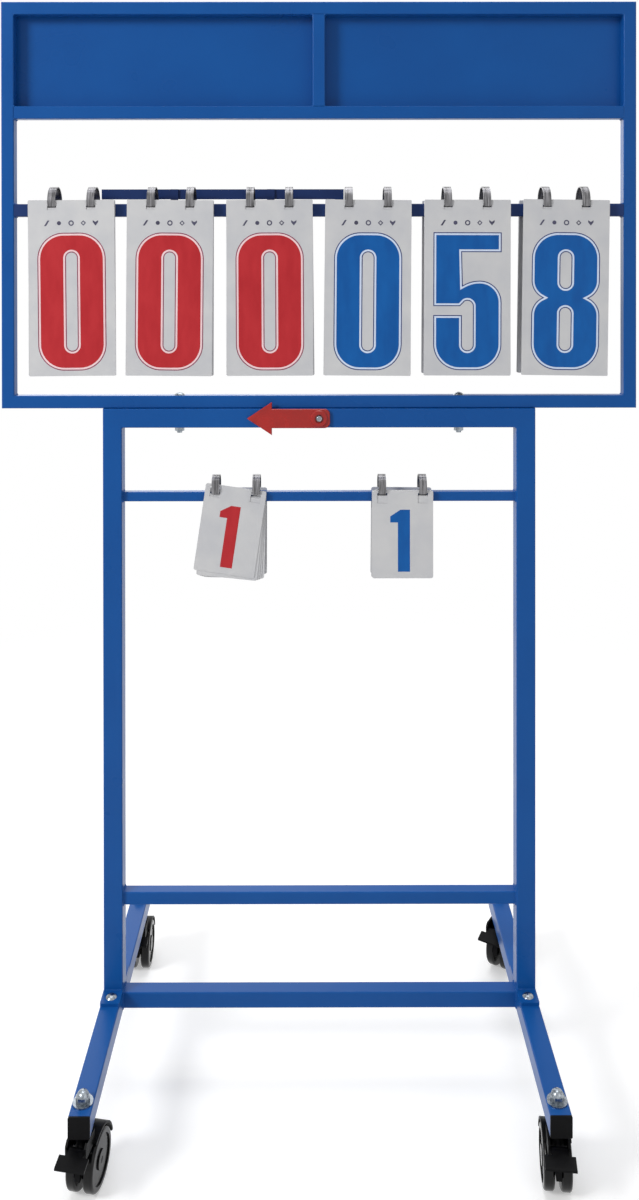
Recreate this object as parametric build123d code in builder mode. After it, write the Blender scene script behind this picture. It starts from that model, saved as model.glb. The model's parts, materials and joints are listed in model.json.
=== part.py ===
from build123d import *
from math import asin, cos, degrees, radians, sin, sqrt
import os

os.makedirs("parts", exist_ok=True)

# Flip scoreboard on a wheeled stand. Millimetres.
# X runs to the right, Y away from the reader, Z up from the floor.
# The origin is on the floor, below the middle of the posts.

# ---- Driving dimensions ----

# Casters and feet
caster_height = 100.0
foot_tube = 30.0
foot_wall = 1.5
foot_length = 510.0
stand_width = 680.0

# Stand
base_plate_thickness = 5.0
base_plate_length = 90.0
base_bolt_spacing = 60.0
post_tube = 30.0
post_wall = 1.5
post_length = 915.0
upper_bar_tube = 20.0
upper_bar_rise = 156.0
lower_bar_tube = 25.0
lower_bar_step = 1.0
bar_wall = 1.5
set_rail_tube = 15.0
set_rail_drop = 132.5

# Board
board_width = 1000.0
board_height = 640.0
board_tube = 20.0
board_wall = 1.5
name_panel_height = 144.0
name_sheet_thickness = 1.2
name_sheet_lap = 12.0
card_rail_drop = 318.0
board_bolt_spacing = 442.0
tube_corner = 2.0

# Number cards and their hoops
card_thickness = 0.8
card_pitch = 1.0
score_card_corner = 1.5
set_card_corner = 3.5
rail_gap = 0.6
slot_clearance = 0.5
seat_gap = 0.3
slot_corner = 1.0
strip_width = 12.0
strip_thickness = 1.5
strip_tab = 8.0

score_card_width = 135.0
score_card_height = 275.0
score_card_rise = 2.5
score_card_count = 10
score_rail_margin = 15.0
score_hoop_spacing = 61.0
score_hoop_play = 0.95
score_hoop_rise = 3.0
score_slot_width = 14.0

set_card_width = 96.0
set_card_height = 138.0
set_card_drop = 3.8
set_card_count = 6
set_stack_offset = 131.0
set_hoop_spacing = 64.0
set_hoop_play = 2.1
set_hoop_rise = 7.5
set_slot_width = 16.0
set_card_tilt = 8.5

# Bar behind the hoops
rear_bar_left = -350.0
rear_bar_right = 40.0
rear_bar_height = 16.0
rear_bar_thickness = 6.0
rear_bar_rise = 17.5
rear_bar_gap = 20.0
rear_bar_tab_width = 14.0
rear_bar_tab_drop = 9.0
rear_bracket_width = 12.0
rear_bracket_thickness = 3.0
rear_bracket_places = (-1.5, -0.5)

# Pointer
pointer_reach = 113.0
pointer_tail = 17.0
pointer_tail_corner = 9.0
pointer_head_length = 39.0
pointer_head_width = 52.0
pointer_shank_width = 30.0
pointer_thickness = 4.0
pointer_chamfer = 1.0
pointer_boss_diameter = 27.0
pointer_boss_height = 2.5
pointer_boss_chamfer = 1.5
pointer_recess_diameter = 14.0
pointer_recess_depth = 3.0
pointer_screw_diameter = 6.0
pointer_screw_head = 9.5
pointer_screw_head_height = 3.0
pointer_screw_rounding = 1.6
pointer_washer_diameter = 16.0
pointer_washer_thickness = 1.0

# Bolts and nuts
frame_bolt_diameter = 8.0
bolt_head_diameter = 17.0
bolt_head_height = 4.5
bolt_overhang = 3.0
frame_nut_flats = 13.0
frame_nut_height = 6.5
pointer_nut_flats = 10.0
pointer_nut_height = 5.0
hole_clearance = 0.2
thread_clearance = 0.05
running_clearance = 0.05

# Caster stems
stem_diameter = 10.0
stem_depth = 20.0
stem_collar_diameter = 24.0
stem_collar_height = 2.7
stem_washer_diameter = 28.0
stem_washer_thickness = 2.0
stem_nut_flats = 17.0
stem_nut_height = 8.0
stem_dome_height = 7.0
stem_inset = 26.0

# Casters
wheel_diameter = 75.0
wheel_width = 15.2
wheel_rounding = 4.0
wheel_recess = 2.0
hub_diameter = 24.0
axle_diameter = 8.0
caster_trail = 20.0
web_thickness = 7.6
wheel_side_gap = 0.5
fork_top_gap = 0.3
fender_gap = 2.0
fender_thickness = 3.0
fender_start = 12.0
fender_end = 118.0
boss_diameter = 26.0
boss_depth = 29.0
ear_thickness = 3.0
ear_inset = 1.0
ear_margin = 5.0
ear_drop = 6.0
ear_top_step = 4.0
stem_bore_extra = 1.0
pedal_pin_diameter = 4.0
pedal_pin_reach = 21.0
pedal_pin_drop = 20.0
pedal_barrel_diameter = 9.0
pedal_reach = 48.0
pedal_tip_drop = 25.0
pedal_plate_thickness = 3.0
pedal_width = 42.0
pedal_side_gap = 0.5
shoe_gap = 0.6
shoe_tip_angle = 143.0
shoe_half_root = 3.0
shoe_boss_gap = 1.5
shoe_boss_drop = 1.0
shoe_tip_depth = 4.0
shoe_tip_slope = 1.0
tread_start = 0.38

# End caps of the feet
cap_flange = 2.5
cap_plug_length = 12.0
cap_plug_clearance = 0.1
cap_wall = 2.0
cap_plug_corner = 0.8

# Each caster: side, end, and how far its wheels trail in from straight back, in degrees
caster_swivels = {
    "front_left": (-1, -1, 10.0),
    "front_right": (1, -1, -6.0),
    "rear_left": (-1, 1, 0.0),
    "rear_right": (1, 1, -32.0),
}

# Score stacks: place along the rail in stack pitches, and cards already flipped to the back
score_stacks = {
    "red_hundreds": (-2.5, 0),
    "red_tens": (-1.5, 0),
    "red_units": (-0.5, 0),
    "blue_hundreds": (0.5, 0),
    "blue_tens": (1.5, 5),
    "blue_units": (2.5, 8),
}

# Set stacks: side of the stand, cards already flipped, and the tilt of the front card
set_stacks = {
    "red_set": (-1, 1, set_card_tilt),
    "blue_set": (1, 1, 0.0),
}

# ---- Levels and places worked out from them ----

foot_top = caster_height + foot_tube
post_bottom = foot_top + base_plate_thickness
stand_top = post_bottom + post_length
board_bottom = stand_top
board_top = board_bottom + board_height
post_x = stand_width / 2 - post_tube / 2
post_inner_x = stand_width / 2 - post_tube
foot_inner_x = post_x - foot_tube / 2
stile_inner_x = board_width / 2 - board_tube
name_rail_top = board_top - board_tube - name_panel_height
card_rail_top = board_top - card_rail_drop
set_rail_top = stand_top - set_rail_drop
score_stack_pitch = 2 * (stile_inner_x - score_rail_margin) / len(score_stacks)
stem_y = foot_length / 2 - stem_inset
pointer_z = stand_top - post_tube / 2

score_rail_half = board_tube / 2
set_rail_half = set_rail_tube / 2
score_axis_z = card_rail_top + score_hoop_rise
set_axis_z = set_rail_top + set_hoop_rise


def nearest_card(rail_half):
    """Distance from the rail's middle to the card that hangs closest to the rail."""
    return rail_half + strip_thickness + rail_gap + card_thickness / 2


score_front = nearest_card(score_rail_half) + (score_card_count - 1) * card_pitch
set_front = nearest_card(set_rail_half) + (set_card_count - 1) * card_pitch
score_hoop_radius = score_front + card_thickness / 2 + score_hoop_play
set_hoop_radius = set_front + card_thickness / 2 + set_hoop_play


def hoop_crossing(front, radius):
    """Depths below the hoop's axis between which the strip passes through the front card."""
    near = sqrt(radius**2 - (front + card_thickness / 2) ** 2)
    far = sqrt((radius + strip_thickness) ** 2 - (front - card_thickness / 2) ** 2)
    return near, far


score_near, score_far = hoop_crossing(score_front, score_hoop_radius)
set_near, set_far = hoop_crossing(set_front, set_hoop_radius)
score_slot = (score_near - slot_clearance, score_far + slot_clearance)
tilt_room = (set_hoop_spacing + strip_width) * sin(radians(set_card_tilt))
set_slot = (set_near - slot_clearance, set_far + slot_clearance + tilt_room)


# ---- Tubes ----

def tube_section(width, wall):
    """Square tube section with rounded corners, drawn in the current sketch."""
    RectangleRounded(width, width, tube_corner)
    inner = width - 2 * wall
    RectangleRounded(inner, inner, max(tube_corner - wall, 0.4), mode=Mode.SUBTRACT)


def tube_along_x(x_start, x_end, z, width, wall):
    with BuildSketch(Plane.YZ.offset(x_start)) as section:
        with Locations((0, z)):
            tube_section(width, wall)
    extrude(section.sketch, amount=x_end - x_start)


def tube_along_z(x, z_start, z_end, width, wall):
    with BuildSketch(Plane.XY.offset(z_start)) as section:
        with Locations((x, 0)):
            tube_section(width, wall)
    extrude(section.sketch, amount=z_end - z_start)


def tube_along_y(x, z, length, width, wall):
    with BuildSketch(Plane.XZ.offset(-length / 2)) as section:
        with Locations((x, z)):
            tube_section(width, wall)
    extrude(section.sketch, amount=length)


def mitre(x, z, toward_x, toward_z):
    """Cut the tube off at 45 degrees through an outer corner, dropping the side it points to."""
    cut = Plane(origin=(x, 0, z), z_dir=(toward_x, 0, toward_z))
    split(bisect_by=cut, keep=Keep.BOTTOM)


def bolt_hole(x, y, z_low, z_high, diameter):
    with BuildSketch(Plane.XY.offset(z_low)) as bore:
        with Locations((x, y)):
            Circle(diameter / 2)
    extrude(bore.sketch, amount=z_high - z_low, mode=Mode.SUBTRACT)


# ---- Board frame ----

half_width = board_width / 2
board_bolt_places = (-board_bolt_spacing / 2, board_bolt_spacing / 2)
frame_bolt_hole = frame_bolt_diameter + 2 * hole_clearance

with BuildPart() as board_top_rail:
    tube_along_x(-half_width, half_width, board_top - board_tube / 2, board_tube, board_wall)
    mitre(-half_width, board_top, -1, -1)
    mitre(half_width, board_top, 1, -1)
board_top_rail.part.label = "board_top_rail"
export_step(board_top_rail.part, "parts/board_top_rail.step")

with BuildPart() as board_bottom_rail:
    tube_along_x(-half_width, half_width, board_bottom + board_tube / 2, board_tube, board_wall)
    mitre(-half_width, board_bottom, -1, 1)
    mitre(half_width, board_bottom, 1, 1)
    for bolt_x in board_bolt_places:
        bolt_hole(bolt_x, 0, board_bottom, board_bottom + board_tube, frame_bolt_hole)
board_bottom_rail.part.label = "board_bottom_rail"
export_step(board_bottom_rail.part, "parts/board_bottom_rail.step")

for side, name in ((-1, "board_left_stile"), (1, "board_right_stile")):
    with BuildPart() as board_stile:
        stile_x = side * (half_width - board_tube / 2)
        tube_along_z(stile_x, board_bottom, board_top, board_tube, board_wall)
        mitre(side * half_width, board_top, -side, 1)
        mitre(side * half_width, board_bottom, -side, -1)
    board_stile.part.label = name
    export_step(board_stile.part, f"parts/{name}.step")

with BuildPart() as name_board_rail:
    rail_z = name_rail_top - board_tube / 2
    tube_along_x(-stile_inner_x, stile_inner_x, rail_z, board_tube, board_wall)
name_board_rail.part.label = "name_board_rail"
export_step(name_board_rail.part, "parts/name_board_rail.step")

with BuildPart() as name_board_divider:
    tube_along_z(0, name_rail_top, board_top - board_tube, board_tube, board_wall)
name_board_divider.part.label = "name_board_divider"
export_step(name_board_divider.part, "parts/name_board_divider.step")

# The sheet is welded on the back of the tubes and laps over them
with BuildPart() as name_board_sheet:
    sheet_z = name_rail_top + name_panel_height / 2
    with BuildSketch(Plane.XZ.offset(-board_tube / 2)):
        with Locations((0, sheet_z)):
            Rectangle(2 * (stile_inner_x + name_sheet_lap), name_panel_height + 2 * name_sheet_lap)
    extrude(amount=-name_sheet_thickness)
name_board_sheet.part.label = "name_board_sheet"
export_step(name_board_sheet.part, "parts/name_board_sheet.step")

with BuildPart() as card_rail:
    rail_z = card_rail_top - board_tube / 2
    tube_along_x(-stile_inner_x, stile_inner_x, rail_z, board_tube, board_wall)
card_rail.part.label = "card_rail"
export_step(card_rail.part, "parts/card_rail.step")

# Flat bar behind the hoops, with a turned-down end, on two brackets from the back of the card rail.
# The brackets stand behind the middles of two card stacks.
with BuildPart() as rear_bar:
    bar_y = score_rail_half + rear_bar_gap
    bar_low = card_rail_top + rear_bar_rise - rear_bar_height / 2
    bar_length = rear_bar_right - rear_bar_left
    with BuildSketch(Plane.XZ.offset(-bar_y)):
        with Locations(((rear_bar_left + rear_bar_right) / 2, bar_low + rear_bar_height / 2)):
            Rectangle(bar_length, rear_bar_height)
        with Locations((rear_bar_right - rear_bar_tab_width / 2, bar_low - rear_bar_tab_drop / 2)):
            Rectangle(rear_bar_tab_width, rear_bar_tab_drop)
    extrude(amount=-rear_bar_thickness)
    for bracket_place in rear_bracket_places:
        bracket_low = card_rail_top - board_tube / 2
        with BuildSketch(Plane.YZ.offset(bracket_place * score_stack_pitch)):
            with BuildLine():
                Polyline(
                    (score_rail_half, bracket_low),
                    (bar_y, bracket_low),
                    (bar_y, bar_low + rear_bar_height),
                    (bar_y - rear_bracket_thickness, bar_low + rear_bar_height),
                    (bar_y - rear_bracket_thickness, bracket_low + rear_bracket_thickness),
                    (score_rail_half, bracket_low + rear_bracket_thickness),
                    close=True,
                )
            make_face()
        extrude(amount=rear_bracket_width / 2, both=True)
rear_bar.part.label = "rear_bar"
export_step(rear_bar.part, "parts/rear_bar.step")

# ---- Stand ----

half_stand = stand_width / 2

with BuildPart() as stand_top_rail:
    tube_along_x(-half_stand, half_stand, stand_top - post_tube / 2, post_tube, post_wall)
    mitre(-half_stand, stand_top, -1, -1)
    mitre(half_stand, stand_top, 1, -1)
    for bolt_x in board_bolt_places:
        bolt_hole(bolt_x, 0, stand_top - post_tube, stand_top, frame_bolt_hole)
    with BuildSketch(Plane.XZ.offset(-post_tube)):
        with Locations((0, pointer_z)):
            Circle(pointer_screw_diameter / 2 + hole_clearance)
    extrude(amount=2 * post_tube, mode=Mode.SUBTRACT)
stand_top_rail.part.label = "stand_top_rail"
export_step(stand_top_rail.part, "parts/stand_top_rail.step")

for side, name in ((-1, "left_post"), (1, "right_post")):
    with BuildPart() as post:
        tube_along_z(side * post_x, post_bottom, stand_top, post_tube, post_wall)
        mitre(side * half_stand, stand_top, -side, 1)
    post.part.label = name
    export_step(post.part, f"parts/{name}.step")

with BuildPart() as set_rail:
    rail_z = set_rail_top - set_rail_tube / 2
    tube_along_x(-post_inner_x, post_inner_x, rail_z, set_rail_tube, bar_wall)
set_rail.part.label = "set_rail"
export_step(set_rail.part, "parts/set_rail.step")

with BuildPart() as upper_cross_bar:
    bar_z = foot_top + upper_bar_rise - upper_bar_tube / 2
    tube_along_x(-post_inner_x, post_inner_x, bar_z, upper_bar_tube, bar_wall)
upper_cross_bar.part.label = "upper_cross_bar"
export_step(upper_cross_bar.part, "parts/upper_cross_bar.step")

with BuildPart() as lower_cross_bar:
    bar_z = foot_top - lower_bar_step - lower_bar_tube / 2
    tube_along_x(-foot_inner_x, foot_inner_x, bar_z, lower_bar_tube, bar_wall)
lower_cross_bar.part.label = "lower_cross_bar"
export_step(lower_cross_bar.part, "parts/lower_cross_bar.step")

base_bolt_places = [
    (side * post_x, end * base_bolt_spacing / 2) for side in (-1, 1) for end in (-1, 1)
]
stem_places = {
    name: (side * post_x, end * stem_y) for name, (side, end, swivel) in caster_swivels.items()
}

with BuildPart() as post_base_plates:
    with BuildSketch(Plane.XY.offset(foot_top)):
        with Locations((-post_x, 0), (post_x, 0)):
            RectangleRounded(foot_tube, base_plate_length, tube_corner)
        with Locations(*base_bolt_places):
            Circle(frame_bolt_hole / 2, mode=Mode.SUBTRACT)
    extrude(amount=base_plate_thickness)
post_base_plates.part.label = "post_base_plates"
export_step(post_base_plates.part, "parts/post_base_plates.step")

foot_tube_length = foot_length - 2 * cap_flange
for side, name in ((-1, "left_foot"), (1, "right_foot")):
    with BuildPart() as foot:
        foot_z = caster_height + foot_tube / 2
        tube_along_y(side * post_x, foot_z, foot_tube_length, foot_tube, foot_wall)
        for end in (-1, 1):
            bolt_y = end * base_bolt_spacing / 2
            stem_hole = stem_diameter + 2 * hole_clearance
            bolt_hole(side * post_x, bolt_y, caster_height, foot_top, frame_bolt_hole)
            bolt_hole(side * post_x, end * stem_y, caster_height, foot_top, stem_hole)
    foot.part.label = name
    export_step(foot.part, f"parts/{name}.step")

# Plastic plugs: a flange over the tube's end and a hollow spigot inside it
with BuildPart() as foot_end_caps:
    for side in (-1, 1):
        for end in (-1, 1):
            cap_place = (side * post_x, caster_height + foot_tube / 2)
            outer_face = Plane(
                origin=(0, end * foot_length / 2, 0), x_dir=(1, 0, 0), z_dir=(0, -1, 0)
            )
            with BuildSketch(outer_face):
                with Locations(cap_place):
                    RectangleRounded(foot_tube, foot_tube, tube_corner)
            extrude(amount=end * cap_flange)
            spigot = foot_tube - 2 * foot_wall - 2 * cap_plug_clearance
            with BuildSketch(outer_face.offset(end * cap_flange)):
                with Locations(cap_place):
                    RectangleRounded(spigot, spigot, cap_plug_corner)
                    Rectangle(spigot - 2 * cap_wall, spigot - 2 * cap_wall, mode=Mode.SUBTRACT)
            extrude(amount=end * cap_plug_length)
foot_end_caps.part.label = "foot_end_caps"
export_step(foot_end_caps.part, "parts/foot_end_caps.step")

# ---- Bolts, nuts and stems ----


def dome(x, y, z, diameter, height):
    """Round bolt head: a spherical cap standing on the level z."""
    rim = diameter / 2
    sphere_radius = (rim**2 + height**2) / (2 * height)
    centre_z = z + height - sphere_radius
    rim_angle = degrees(asin((z - centre_z) / sphere_radius))
    with BuildSketch(Plane(origin=(x, y, 0), x_dir=(1, 0, 0), z_dir=(0, -1, 0))) as profile:
        with BuildLine():
            Line((0, z), (rim, z))
            CenterArc((0, centre_z), sphere_radius, rim_angle, 90 - rim_angle)
            Line((0, z + height), (0, z))
        make_face()
    revolve(profile.sketch, axis=Axis((x, y, 0), (0, 0, 1)))


def rod(x, y, z_low, z_high, diameter):
    with BuildSketch(Plane.XY.offset(z_low)) as section:
        with Locations((x, y)):
            Circle(diameter / 2)
    extrude(section.sketch, amount=z_high - z_low)


def hex_nut(x, y, z_low, z_high, flats, bore):
    with BuildSketch(Plane.XY.offset(z_low)) as section:
        with Locations((x, y)):
            RegularPolygon(flats / 2, 6, major_radius=False)
            Circle(bore / 2, mode=Mode.SUBTRACT)
    extrude(section.sketch, amount=z_high - z_low)


frame_nut_bore = frame_bolt_diameter + 2 * thread_clearance
board_bolt_seat = board_bottom + board_tube
board_nut_seat = stand_top - post_tube

with BuildPart() as board_bolts:
    for bolt_x in board_bolt_places:
        bolt_end = board_nut_seat - frame_nut_height - bolt_overhang
        rod(bolt_x, 0, bolt_end, board_bolt_seat, frame_bolt_diameter)
        dome(bolt_x, 0, board_bolt_seat, bolt_head_diameter, bolt_head_height)
board_bolts.part.label = "board_bolts"
export_step(board_bolts.part, "parts/board_bolts.step")

with BuildPart() as board_nuts:
    for bolt_x in board_bolt_places:
        nut_low = board_nut_seat - frame_nut_height
        hex_nut(bolt_x, 0, nut_low, board_nut_seat, frame_nut_flats, frame_nut_bore)
board_nuts.part.label = "board_nuts"
export_step(board_nuts.part, "parts/board_nuts.step")

with BuildPart() as base_bolts:
    for bolt_x, bolt_y in base_bolt_places:
        bolt_end = caster_height - frame_nut_height - bolt_overhang
        rod(bolt_x, bolt_y, bolt_end, post_bottom, frame_bolt_diameter)
        dome(bolt_x, bolt_y, post_bottom, bolt_head_diameter, bolt_head_height)
base_bolts.part.label = "base_bolts"
export_step(base_bolts.part, "parts/base_bolts.step")

with BuildPart() as base_nuts:
    for bolt_x, bolt_y in base_bolt_places:
        nut_low = caster_height - frame_nut_height
        hex_nut(bolt_x, bolt_y, nut_low, caster_height, frame_nut_flats, frame_nut_bore)
base_nuts.part.label = "base_nuts"
export_step(base_nuts.part, "parts/base_nuts.step")

stem_low = caster_height - stem_depth
washer_top = foot_top + stem_washer_thickness
stem_nut_top = washer_top + stem_nut_height

with BuildPart() as caster_stems:
    for stem_x, stem_end_y in stem_places.values():
        rod(stem_x, stem_end_y, stem_low, stem_nut_top, stem_diameter)
        collar_low = caster_height - stem_collar_height
        rod(stem_x, stem_end_y, collar_low, caster_height, stem_collar_diameter)
caster_stems.part.label = "caster_stems"
export_step(caster_stems.part, "parts/caster_stems.step")

with BuildPart() as caster_washers:
    for stem_x, stem_end_y in stem_places.values():
        rod(stem_x, stem_end_y, foot_top, washer_top, stem_washer_diameter)
        washer_bore = stem_diameter + 2 * hole_clearance
        bolt_hole(stem_x, stem_end_y, foot_top, washer_top, washer_bore)
caster_washers.part.label = "caster_washers"
export_step(caster_washers.part, "parts/caster_washers.step")

with BuildPart() as caster_nuts:
    for stem_x, stem_end_y in stem_places.values():
        stem_bore = stem_diameter + 2 * thread_clearance
        hex_nut(stem_x, stem_end_y, washer_top, stem_nut_top, stem_nut_flats, stem_bore)
        dome(stem_x, stem_end_y, stem_nut_top, stem_nut_flats, stem_dome_height)
caster_nuts.part.label = "caster_nuts"
export_step(caster_nuts.part, "parts/caster_nuts.step")

# ---- Hoops and cards ----


def hoop(x, axis_z, radius, rail_half, slot):
    """Strip hoop over the rail: an arc round the flip axis, turned in to a tab on each rail face."""
    outer = radius + strip_thickness
    foot_low_depth = slot[0] + seat_gap + strip_thickness
    foot_end = sqrt((radius + strip_thickness / 2) ** 2 - foot_low_depth**2)
    with BuildSketch(Plane.YZ.offset(x)) as profile:
        with Locations((0, axis_z)):
            Circle(outer)
            Circle(radius, mode=Mode.SUBTRACT)
        with Locations((0, axis_z - foot_low_depth - outer / 2)):
            Rectangle(3 * outer, outer, mode=Mode.SUBTRACT)
        for face in (-1, 1):
            foot_middle = face * (rail_half + foot_end) / 2
            with Locations((foot_middle, axis_z - foot_low_depth + strip_thickness / 2)):
                Rectangle(foot_end - rail_half, strip_thickness)
            tab_y = face * (rail_half + strip_thickness / 2)
            with Locations((tab_y, axis_z - foot_low_depth - strip_tab / 2)):
                Rectangle(strip_thickness, strip_tab)
    extrude(profile.sketch, amount=strip_width / 2, both=True)


def card(x, y, axis_z, width, height, corner, top, slot, slot_width, spacing, tilt=0.0):
    """One number card with two slots; x, y and axis_z give the middle of its hoops' axis."""
    slant = radians(tilt)
    slot_middle = (slot[0] + slot[1]) / 2
    crossing_depth = slot_middle - (spacing + strip_width) * sin(slant) / 2
    lift = (spacing + strip_width) / 2 * sin(slant)
    origin = (
        x + crossing_depth * sin(slant),
        y - card_thickness / 2,
        axis_z - crossing_depth * (1 - cos(slant)) + lift,
    )
    face = Plane(origin=origin, x_dir=(cos(slant), 0, -sin(slant)), z_dir=(0, -1, 0))
    with BuildSketch(face) as sheet:
        with Locations((0, top - height / 2)):
            RectangleRounded(width, height, corner)
        with Locations((-spacing / 2, -slot_middle), (spacing / 2, -slot_middle)):
            RectangleRounded(slot_width, slot[1] - slot[0], slot_corner, mode=Mode.SUBTRACT)
    extrude(sheet.sketch, amount=-card_thickness)


with BuildPart() as score_hoops:
    for place, flipped in score_stacks.values():
        for side in (-1, 1):
            hoop_x = place * score_stack_pitch + side * score_hoop_spacing / 2
            hoop(hoop_x, score_axis_z, score_hoop_radius, score_rail_half, score_slot)
score_hoops.part.label = "score_hoops"
export_step(score_hoops.part, "parts/score_hoops.step")

with BuildPart() as set_hoops:
    for place, flipped, tilt in set_stacks.values():
        for side in (-1, 1):
            hoop_x = place * set_stack_offset + side * set_hoop_spacing / 2
            hoop(hoop_x, set_axis_z, set_hoop_radius, set_rail_half, set_slot)
set_hoops.part.label = "set_hoops"
export_step(set_hoops.part, "parts/set_hoops.step")


def score_card(x, y):
    size = (score_card_width, score_card_height, score_card_corner, score_card_rise)
    card(x, y, score_axis_z, *size, score_slot, score_slot_width, score_hoop_spacing)


def set_card(x, y, tilt=0.0):
    size = (set_card_width, set_card_height, set_card_corner, -set_card_drop)
    card(x, y, set_axis_z, *size, set_slot, set_slot_width, set_hoop_spacing, tilt)


for stack, (place, flipped) in score_stacks.items():
    stack_x = place * score_stack_pitch

    with BuildPart() as front_card:
        score_card(stack_x, -score_front)
    front_card.part.label = f"{stack}_card"
    export_step(front_card.part, f"parts/{stack}_card.step")

    with BuildPart() as pile:
        for behind in range(1, score_card_count - flipped):
            score_card(stack_x, behind * card_pitch - score_front)
        for turned in range(flipped):
            score_card(stack_x, nearest_card(score_rail_half) + turned * card_pitch)
    pile.part.label = f"{stack}_pile"
    export_step(pile.part, f"parts/{stack}_pile.step")

for stack, (place, flipped, tilt) in set_stacks.items():
    stack_x = place * set_stack_offset

    with BuildPart() as front_card:
        set_card(stack_x, -set_front, tilt)
    front_card.part.label = f"{stack}_card"
    export_step(front_card.part, f"parts/{stack}_card.step")

    with BuildPart() as pile:
        for behind in range(1, set_card_count - flipped):
            set_card(stack_x, behind * card_pitch - set_front)
        for turned in range(flipped):
            set_card(stack_x, nearest_card(set_rail_half) + turned * card_pitch)
    pile.part.label = f"{stack}_pile"
    export_step(pile.part, f"parts/{stack}_pile.step")

# ---- Pointer ----

rail_face = -post_tube / 2
pointer_back = rail_face - pointer_washer_thickness - running_clearance
pointer_front = pointer_back - pointer_thickness
boss_front = pointer_front - pointer_boss_height
screw_seat = boss_front + pointer_recess_depth - running_clearance
screw_bore = pointer_screw_diameter + 2 * running_clearance


def pointer_plane(y):
    """Upright plane facing the reader at depth y, with its origin on the pointer's pivot."""
    return Plane(origin=(0, y, pointer_z), x_dir=(1, 0, 0), z_dir=(0, -1, 0))


with BuildPart() as pointer:
    head_x = pointer_head_length - pointer_reach
    half_shank = pointer_shank_width / 2
    with BuildSketch(pointer_plane(pointer_back)):
        with BuildLine():
            Polyline(
                (-pointer_reach, 0),
                (head_x, pointer_head_width / 2),
                (head_x, half_shank),
                (pointer_tail, half_shank),
                (pointer_tail, -half_shank),
                (head_x, -half_shank),
                (head_x, -pointer_head_width / 2),
                close=True,
            )
        outline = make_face()
        tail_corners = outline.vertices().group_by(Axis.X)[-1]
        fillet(tail_corners, radius=pointer_tail_corner)
    extrude(amount=pointer_thickness)
    front_face = pointer.faces().sort_by(Axis.Y)[0]
    chamfer(front_face.edges(), length=pointer_chamfer)
    with BuildSketch(pointer_plane(pointer_front)):
        Circle(pointer_boss_diameter / 2)
    extrude(amount=pointer_boss_height)
    boss_face = pointer.faces().sort_by(Axis.Y)[0]
    chamfer(boss_face.edges(), length=pointer_boss_chamfer)
    with BuildSketch(pointer_plane(pointer_back)):
        Circle(screw_bore / 2)
    extrude(amount=pointer_thickness + pointer_boss_height, mode=Mode.SUBTRACT)
    # the screw's head sits in a round recess
    with BuildSketch(pointer_plane(boss_front)):
        Circle(pointer_recess_diameter / 2)
    extrude(amount=-pointer_recess_depth, mode=Mode.SUBTRACT)
pointer.part.label = "pointer"
export_step(pointer.part, "parts/pointer.step")

with BuildPart() as pointer_washer:
    with BuildSketch(pointer_plane(rail_face)):
        Circle(pointer_washer_diameter / 2)
        Circle(screw_bore / 2, mode=Mode.SUBTRACT)
    extrude(amount=pointer_washer_thickness)
pointer_washer.part.label = "pointer_washer"
export_step(pointer_washer.part, "parts/pointer_washer.step")

with BuildPart() as pointer_screw:
    screw_tip = -rail_face + pointer_nut_height + bolt_overhang
    with BuildSketch(pointer_plane(screw_tip)):
        Circle(pointer_screw_diameter / 2)
    extrude(amount=screw_tip - screw_seat)
    with BuildSketch(pointer_plane(screw_seat)):
        Circle(pointer_screw_head / 2)
    extrude(amount=pointer_screw_head_height)
    screw_face = pointer_screw.faces().sort_by(Axis.Y)[0]
    fillet(screw_face.edges(), radius=pointer_screw_rounding)
    with BuildSketch(pointer_plane(screw_seat - pointer_screw_head_height)):
        RegularPolygon(pointer_screw_diameter / 3, 6)
    extrude(amount=-pointer_screw_head_height / 2, mode=Mode.SUBTRACT)
pointer_screw.part.label = "pointer_screw"
export_step(pointer_screw.part, "parts/pointer_screw.step")

with BuildPart() as pointer_nut:
    with BuildSketch(pointer_plane(-rail_face)):
        RegularPolygon(pointer_nut_flats / 2, 6, major_radius=False)
        Circle(pointer_screw_diameter / 2 + thread_clearance, mode=Mode.SUBTRACT)
    extrude(amount=-pointer_nut_height)
pointer_nut.part.label = "pointer_nut"
export_step(pointer_nut.part, "parts/pointer_nut.step")

# ---- Casters ----
# Each is drawn from its stem: u runs the way the wheels trail, v along the axle, z up.

wheel_radius = wheel_diameter / 2
fork_top = caster_height - stem_collar_height - fork_top_gap
wheel_inner = web_thickness / 2 + wheel_side_gap
wheel_outer = wheel_inner + wheel_width
fender_inner = wheel_radius + fender_gap
fender_outer = fender_inner + fender_thickness
ear_inner = boss_diameter / 2 - ear_inset
pin_place = (-pedal_pin_reach, caster_height - pedal_pin_drop)


def side_plane(name, across=0.0):
    """Upright plane through a caster's trailing direction, moved across by v."""
    side, end, swivel = caster_swivels[name]
    stem_x, stem_end_y = stem_places[name]
    turn = radians(swivel)
    trailing = (side * -sin(turn), cos(turn), 0)
    axle = Vector(0, 0, 1).cross(Vector(*trailing))
    return Plane(origin=(stem_x, stem_end_y, 0), x_dir=trailing, z_dir=-axle).offset(-across)


def polar_point(distance, angle):
    """Point in a caster's side plane, measured from its axle."""
    return (
        caster_trail + distance * cos(radians(angle)),
        wheel_radius + distance * sin(radians(angle)),
    )


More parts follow.
